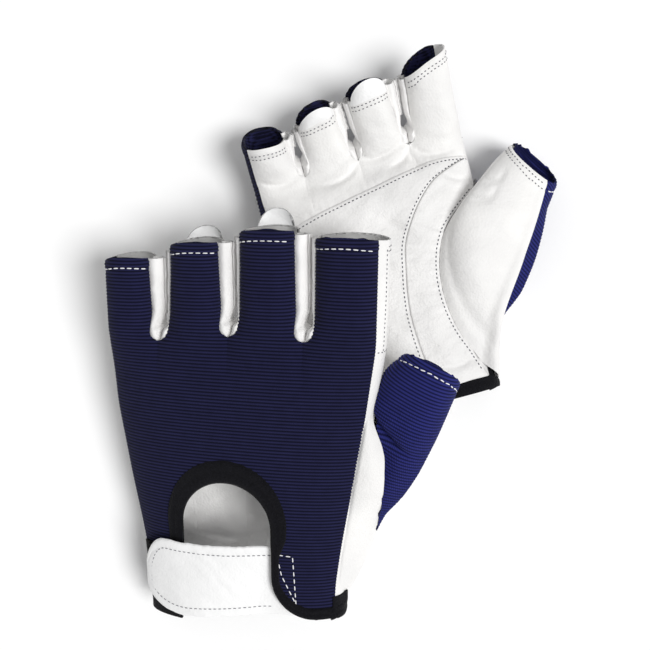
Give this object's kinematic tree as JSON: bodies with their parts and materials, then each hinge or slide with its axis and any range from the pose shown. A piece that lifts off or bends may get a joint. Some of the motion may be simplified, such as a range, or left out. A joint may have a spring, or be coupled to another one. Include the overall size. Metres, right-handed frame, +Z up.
{
  "type": "sailing gloves",
  "caption": "Pair of short-finger sailing gloves, ribbed navy backs and white leather palms, with a vented wrist and a hook-and-loop strap; the left lies on the right.",
  "frame": {"origin": "on the surface the pair lies on, under the middle of the pair", "axes": "+Z up out of the surface, +Y towards the fingertips, +X towards the thumb side"},
  "size_m": [0.1754, 0.2252, 0.0675],
  "materials": {
    "navy_cloth": "ribbed stretch cloth",
    "white_leather": "soft full-grain goat leather",
    "strap_leather": "smooth white leather",
    "black_tape": "matt folded tape",
    "loop_tape": "loop pile",
    "hook_tape": "hook face"
  },
  "bodies": {
    "right_hand": {"right_back_panel": "navy_cloth", "right_palm_panel": "white_leather", "right_palm_patch": "white_leather", "right_thumb_crescent": "white_leather", "right_wrist_binding": "black_tape", "right_loop_pad": "loop_tape", "right_strap_root": "strap_leather"},
    "right_index": {"right_index_back": "navy_cloth", "right_index_front": "white_leather", "right_index_side_strip_outer": "white_leather"},
    "right_middle": {"right_middle_back": "navy_cloth", "right_middle_front": "white_leather", "right_middle_side_strip_outer": "white_leather", "right_middle_side_strip_inner": "white_leather", "right_middle_pull_tab": "white_leather"},
    "right_ring": {"right_ring_back": "navy_cloth", "right_ring_front": "white_leather", "right_ring_side_strip_outer": "white_leather", "right_ring_side_strip_inner": "white_leather", "right_ring_pull_tab": "white_leather"},
    "right_little": {"right_little_back": "navy_cloth", "right_little_front": "white_leather", "right_little_side_strip_inner": "white_leather"},
    "right_thumb": {"right_thumb_back": "navy_cloth", "right_thumb_front": "white_leather"},
    "right_strap": {"right_strap": "strap_leather", "right_hook_pad": "hook_tape"},
    "left_hand": {"left_back_panel": "navy_cloth", "left_palm_panel": "white_leather", "left_palm_patch": "white_leather", "left_thumb_crescent": "white_leather", "left_wrist_binding": "black_tape", "left_loop_pad": "loop_tape", "left_strap_root": "strap_leather"},
    "left_index": {"left_index_back": "navy_cloth", "left_index_front": "white_leather", "left_index_side_strip_outer": "white_leather"},
    "left_middle": {"left_middle_back": "navy_cloth", "left_middle_front": "white_leather", "left_middle_side_strip_outer": "white_leather", "left_middle_side_strip_inner": "white_leather", "left_middle_pull_tab": "white_leather"},
    "left_ring": {"left_ring_back": "navy_cloth", "left_ring_front": "white_leather", "left_ring_side_strip_outer": "white_leather", "left_ring_side_strip_inner": "white_leather", "left_ring_pull_tab": "white_leather"},
    "left_little": {"left_little_back": "navy_cloth", "left_little_front": "white_leather", "left_little_side_strip_inner": "white_leather"},
    "left_thumb": {"left_thumb_back": "navy_cloth", "left_thumb_front": "white_leather"},
    "left_strap": {"left_strap": "strap_leather", "left_hook_pad": "hook_tape"}
  },
  "joints": [
    {"name": "left_glove_lift", "type": "slide", "parent": "right_hand", "child": "left_hand", "axis": [0, 0, 1], "range_m": [0, 0.12]},
    {"name": "right_index_bend", "type": "hinge", "parent": "right_hand", "child": "right_index", "pos_m": [0.03839, 0.07842, 0.02234], "axis": [0.9703, 0.2419, 0], "range_deg": [-28, 30]},
    {"name": "right_middle_bend", "type": "hinge", "parent": "right_hand", "child": "right_middle", "pos_m": [0.01549, 0.07272, 0.02234], "axis": [0.9703, 0.2419, 0], "range_deg": [-32, 28]},
    {"name": "right_ring_bend", "type": "hinge", "parent": "right_hand", "child": "right_ring", "pos_m": [-0.00585, 0.06739, 0.02234], "axis": [0.9703, 0.2419, 0], "range_deg": [-34, 26]},
    {"name": "right_little_bend", "type": "hinge", "parent": "right_hand", "child": "right_little", "pos_m": [-0.02468, 0.0627, 0.02234], "axis": [0.9703, 0.2419, 0], "range_deg": [-38, 24]},
    {"name": "right_thumb_swing", "type": "hinge", "parent": "right_hand", "child": "right_thumb", "pos_m": [0.05985, 0.0337, 0.01961], "axis": [0.0876, -0.9958, 0.0259], "range_deg": [-8, 30]},
    {"name": "right_strap_open", "type": "hinge", "parent": "right_hand", "child": "right_strap", "pos_m": [0.03279, -0.01153, 0.00713], "axis": [0.2418, -0.97, 0.0262], "range_deg": [0, 95]},
    {"name": "left_index_bend", "type": "hinge", "parent": "left_hand", "child": "left_index", "pos_m": [0.00242, -0.00098, 0.04155], "axis": [-0.971, 0.0509, -0.2334], "range_deg": [-12, 10]},
    {"name": "left_middle_bend", "type": "hinge", "parent": "left_hand", "child": "left_middle", "pos_m": [-0.02632, 0.00052, 0.03464], "axis": [-0.971, 0.0509, -0.2334], "range_deg": [-12, 10]},
    {"name": "left_ring_bend", "type": "hinge", "parent": "left_hand", "child": "left_ring", "pos_m": [-0.0536, 0.00195, 0.02808], "axis": [-0.971, 0.0509, -0.2334], "range_deg": [-12, 10]},
    {"name": "left_little_bend", "type": "hinge", "parent": "left_hand", "child": "left_little", "pos_m": [-0.07623, 0.00314, 0.02264], "axis": [-0.971, 0.0509, -0.2334], "range_deg": [-12, 10]},
    {"name": "left_thumb_swing", "type": "hinge", "parent": "left_hand", "child": "left_thumb", "pos_m": [0.01066, -0.05605, 0.03599], "axis": [0.1521, 0.9577, 0.2443], "range_deg": [-20, 2]},
    {"name": "left_strap_open", "type": "hinge", "parent": "left_hand", "child": "left_strap", "pos_m": [-0.03065, -0.09444, 0.03152], "axis": [0.0006, 0.9776, 0.2105], "range_deg": [0, 95]}
  ]
}
